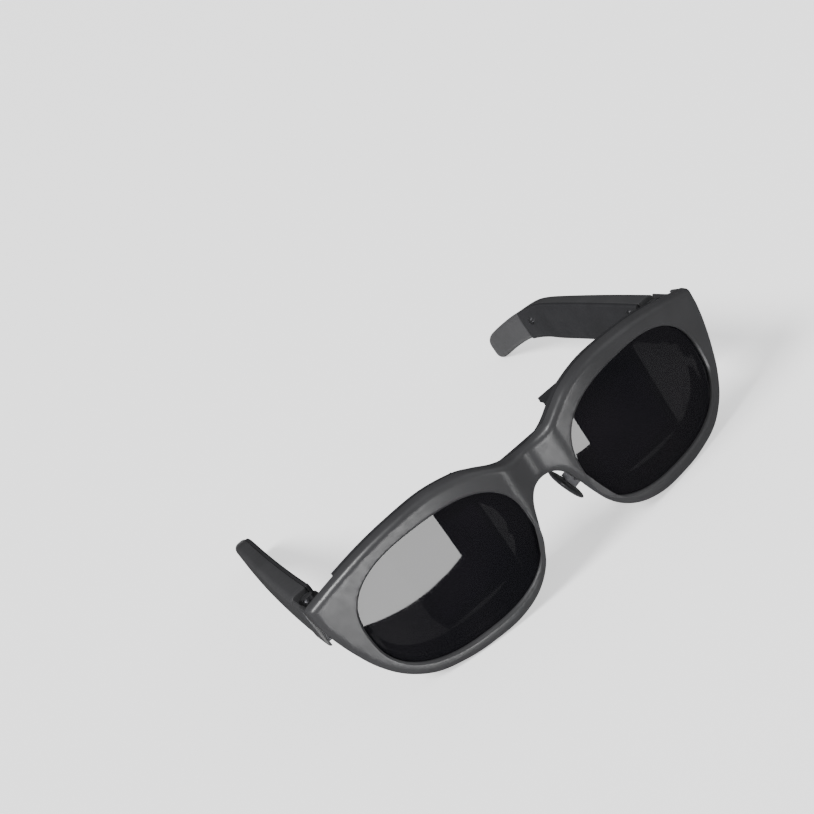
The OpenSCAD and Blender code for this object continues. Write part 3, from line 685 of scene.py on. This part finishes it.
# ---------------------------------------------------------------- nose
def tube(path, radius):
    """A round wire along a smooth path, with rounded ends."""
    p = [Vector(q) for q in path]
    rings = []
    normal = None
    for i, q in enumerate(p):
        t = (p[min(i + 1, len(p) - 1)] - p[max(i - 1, 0)]).normalized()
        if normal is None:
            normal = t.orthogonal().normalized()
        normal = (normal - t * normal.dot(t)).normalized()
        other = t.cross(normal)
        r = radius * (0.6 if i in (0, len(p) - 1) else 1)
        rings.append([q + (normal * math.cos(a) + other * math.sin(a)) * r
                      for a in np.linspace(0, 2 * math.pi, 14, endpoint=False)])
    return loft(rings)


def make_pad_arms():
    """The two wires from the nose bracket to the pads, as one piece."""
    bm = bmesh.new()
    for side in (-1, 1):
        knots = [(5.6, 8.6, 6), (5.6, 11, 6), (7.4, 13.2, 5.4), (11.4, 13.6, 2.8), (12.4, 12.6, -1.4),
                 (11.5, 11.4, -5.4), (11.2, 12.8, -7), (11.2, 15.5, -7), (11.2, 18.4, -7)]
        path = smooth_curve([(side * x, y, z) for x, y, z in knots], 7) * MM
        part = tube([on_front(q) for q in path], WIRE_R)
        mesh = bpy.data.meshes.new("wire")
        part.to_mesh(mesh)
        part.free()
        bm.from_mesh(mesh)
        bpy.data.meshes.remove(mesh)
    new_object("pad_wires", bm, STEEL, "front", ["pad_arms"], 60)


def make_nose_pad(side):
    """Soft silicone pad, crowned on the side that meets the nose."""
    name = "left" if side > 0 else "right"
    rings = []
    for a in (-82, -66, -50, -34, -18, 0, 18, 34, 50, 66, 78, 86):
        t = math.radians(a)
        grow = math.cos(t) ** 0.7
        depth = -PAD_HALF_T * (1 + math.sin(t))
        rings.append([(depth, y, z) for z, y in oblong(PAD_A * grow, PAD_B * grow, 2.2, 0, 48)])
    at = (Matrix.Translation(Vector(on_front(PAD))) @ Matrix.Rotation(math.radians(-20), 4, "Y")
          @ Matrix.Translation((-1.75 * MM, 0, 0)) @ Matrix.Rotation(math.radians(-14), 4, "Z"))
    new_object(name + "_silicone_pad", loft(rings), PAD_RUBBER, name + "_pad", [name + "_nose_pad"],
               60, placed(at, side))


make_front()
for s in (-1, 1):
    make_lens(("left" if s > 0 else "right") + "_lens", s)
    make_temple(s)
    make_cap(s)
    make_nose_pad(s)
make_pad_arms()
dress_cad_nodes()

# ---------------------------------------------------------------- stage, lights and camera
FLOOR_TONE, FLOOR_GLOW = 0.9, 0.95
WALL_TONE = 2.3  # as bright as the lit floor, so that no horizon shows
ROOM_LIGHT, ROOM_MIRRORED = 0.5, 0.05  # the room as a light, and as surfaces mirror it
FLOOR_GAP = 0.02 * MM  # the floor lies this far below the glasses
AZIMUTH, ELEVATION, ROLL = math.radians(14.15), math.radians(21.4), math.radians(34.5)
DISTANCE, FOCAL_LENGTH = 0.43, 66.3  # metres, and mm on a 36 mm sensor
AIM = Vector((-14.1, 30.3, 37)) * MM  # from the lens centre line


def paper():
    """Plain pale paper, which glows a little so that the shadows on it stay soft."""
    m, nt, bsdf, _ = new_material("floor_paper")
    bsdf.inputs["Base Color"].default_value = (FLOOR_TONE, FLOOR_TONE, FLOOR_TONE, 1)
    bsdf.inputs["Roughness"].default_value = 0.7
    bsdf.inputs["Specular IOR Level"].default_value = 0.2
    bsdf.inputs["Emission Color"].default_value = (1, 1, 1, 1)
    bsdf.inputs["Emission Strength"].default_value = FLOOR_GLOW
    return m


def make_floor():
    bm = bmesh.new()
    bmesh.ops.create_grid(bm, x_segments=1, y_segments=1, size=30)
    mesh = bpy.data.meshes.new("floor")
    bm.to_mesh(mesh)
    bm.free()
    mesh.materials.append(paper())
    floor = bpy.data.objects.new("floor", mesh)
    floor.location.z = -FLOOR_GAP
    bpy.context.scene.collection.objects.link(floor)
    # The lenses lean over the floor, and mirror the room in front of them and not the paper
    floor.visible_glossy = False


def card_light(name, corner, along, up, size, power):
    """A soft box placed by one corner and two edge directions, facing the glasses."""
    corner, along, up = Vector(corner), Vector(along).normalized(), Vector(up)
    up = (up - along * up.dot(along)).normalized()
    middle = corner + along * size[0] / 2 + up * size[1] / 2
    back = along.cross(up)
    if back.dot(middle) < 0:
        along, back = -along, -back
    data = bpy.data.lights.new(name, "AREA")
    data.shape = "RECTANGLE"
    data.size, data.size_y = size
    data.energy = power
    light = bpy.data.objects.new(name, data)
    light.location = middle
    light.rotation_mode = "QUATERNION"
    light.rotation_quaternion = Matrix((along, up, back)).transposed().to_quaternion()
    bpy.context.scene.collection.objects.link(light)


def sun(name, toward, strength, angle):
    """A distant soft light, the same over the whole floor."""
    data = bpy.data.lights.new(name, "SUN")
    data.energy = strength
    data.angle = math.radians(angle)
    light = bpy.data.objects.new(name, data)
    light.rotation_mode = "QUATERNION"
    light.rotation_quaternion = Vector(toward).to_track_quat("Z", "Y")
    bpy.context.scene.collection.objects.link(light)


def make_world():
    """Pale to the camera, soft as a light, and dark in reflections."""
    world = bpy.data.worlds.new("studio")
    bpy.context.scene.world = world
    world.use_nodes = True
    nt = world.node_tree
    nt.nodes.clear()
    out = nt.nodes.new("ShaderNodeOutputWorld")
    path = nt.nodes.new("ShaderNodeLightPath")

    def tone(strength):
        n = nt.nodes.new("ShaderNodeBackground")
        n.inputs[0].default_value = (0.97, 0.98, 1, 1)
        n.inputs[1].default_value = strength
        return n.outputs[0]

    def pick(ray, other, chosen):
        n = nt.nodes.new("ShaderNodeMixShader")
        nt.links.new(path.outputs[ray], n.inputs[0])
        nt.links.new(other, n.inputs[1])
        nt.links.new(chosen, n.inputs[2])
        return n.outputs[0]

    lit = pick("Is Glossy Ray", tone(ROOM_LIGHT), tone(ROOM_MIRRORED))
    nt.links.new(pick("Is Camera Ray", lit, tone(WALL_TONE)), out.inputs[0])


def make_camera():
    """Looks down on the front from the wearer's right, rolled so that the front runs up the image."""
    aim = Vector(on_front(AIM))
    ahead = Vector((math.sin(AZIMUTH) * math.cos(ELEVATION), math.cos(AZIMUTH) * math.cos(ELEVATION),
                    -math.sin(ELEVATION)))
    right = ahead.cross(Vector((0, 0, 1))).normalized()
    up = right.cross(ahead)
    up, right = (up * math.cos(ROLL) + right * math.sin(ROLL),
                 right * math.cos(ROLL) - up * math.sin(ROLL))
    data = bpy.data.cameras.new("camera")
    data.sensor_width = 36
    data.lens = FOCAL_LENGTH
    data.clip_start, data.clip_end = 0.01, 100
    camera = bpy.data.objects.new("camera", data)
    turn = Matrix((right, up, -ahead)).transposed().to_4x4()
    camera.matrix_world = Matrix.Translation(aim - ahead * DISTANCE) @ turn
    bpy.context.scene.collection.objects.link(camera)
    bpy.context.scene.camera = camera


make_floor()
make_world()
sun("key", (-0.8, -0.15, 0.85), 3.8, 24)
sun("fill", (0.8, -0.6, 0.5), 0.3, 50)
# Each card's corner lies in the direction that the camera sees mirrored at one point of a lens
CARD_REACH = 0.6
big_corner = on_front((-0.0319, 0.0039, 0.003)) + CARD_REACH * np.array((-0.105, -0.883, -0.458))
small_corner = on_front((0.0167, 0.002, 0.0043)) + CARD_REACH * np.array((0.444, -0.778, -0.445))
card_light("lens_card", big_corner, (-0.947, 0.322, 0), (0, -0.1, 1), (0.42, 0.2), 3.2)
card_light("lens_card_small", small_corner, (-0.91, -0.42, 0), (0, -0.1, 1), (0.12, 0.2), 0.9)
make_camera()
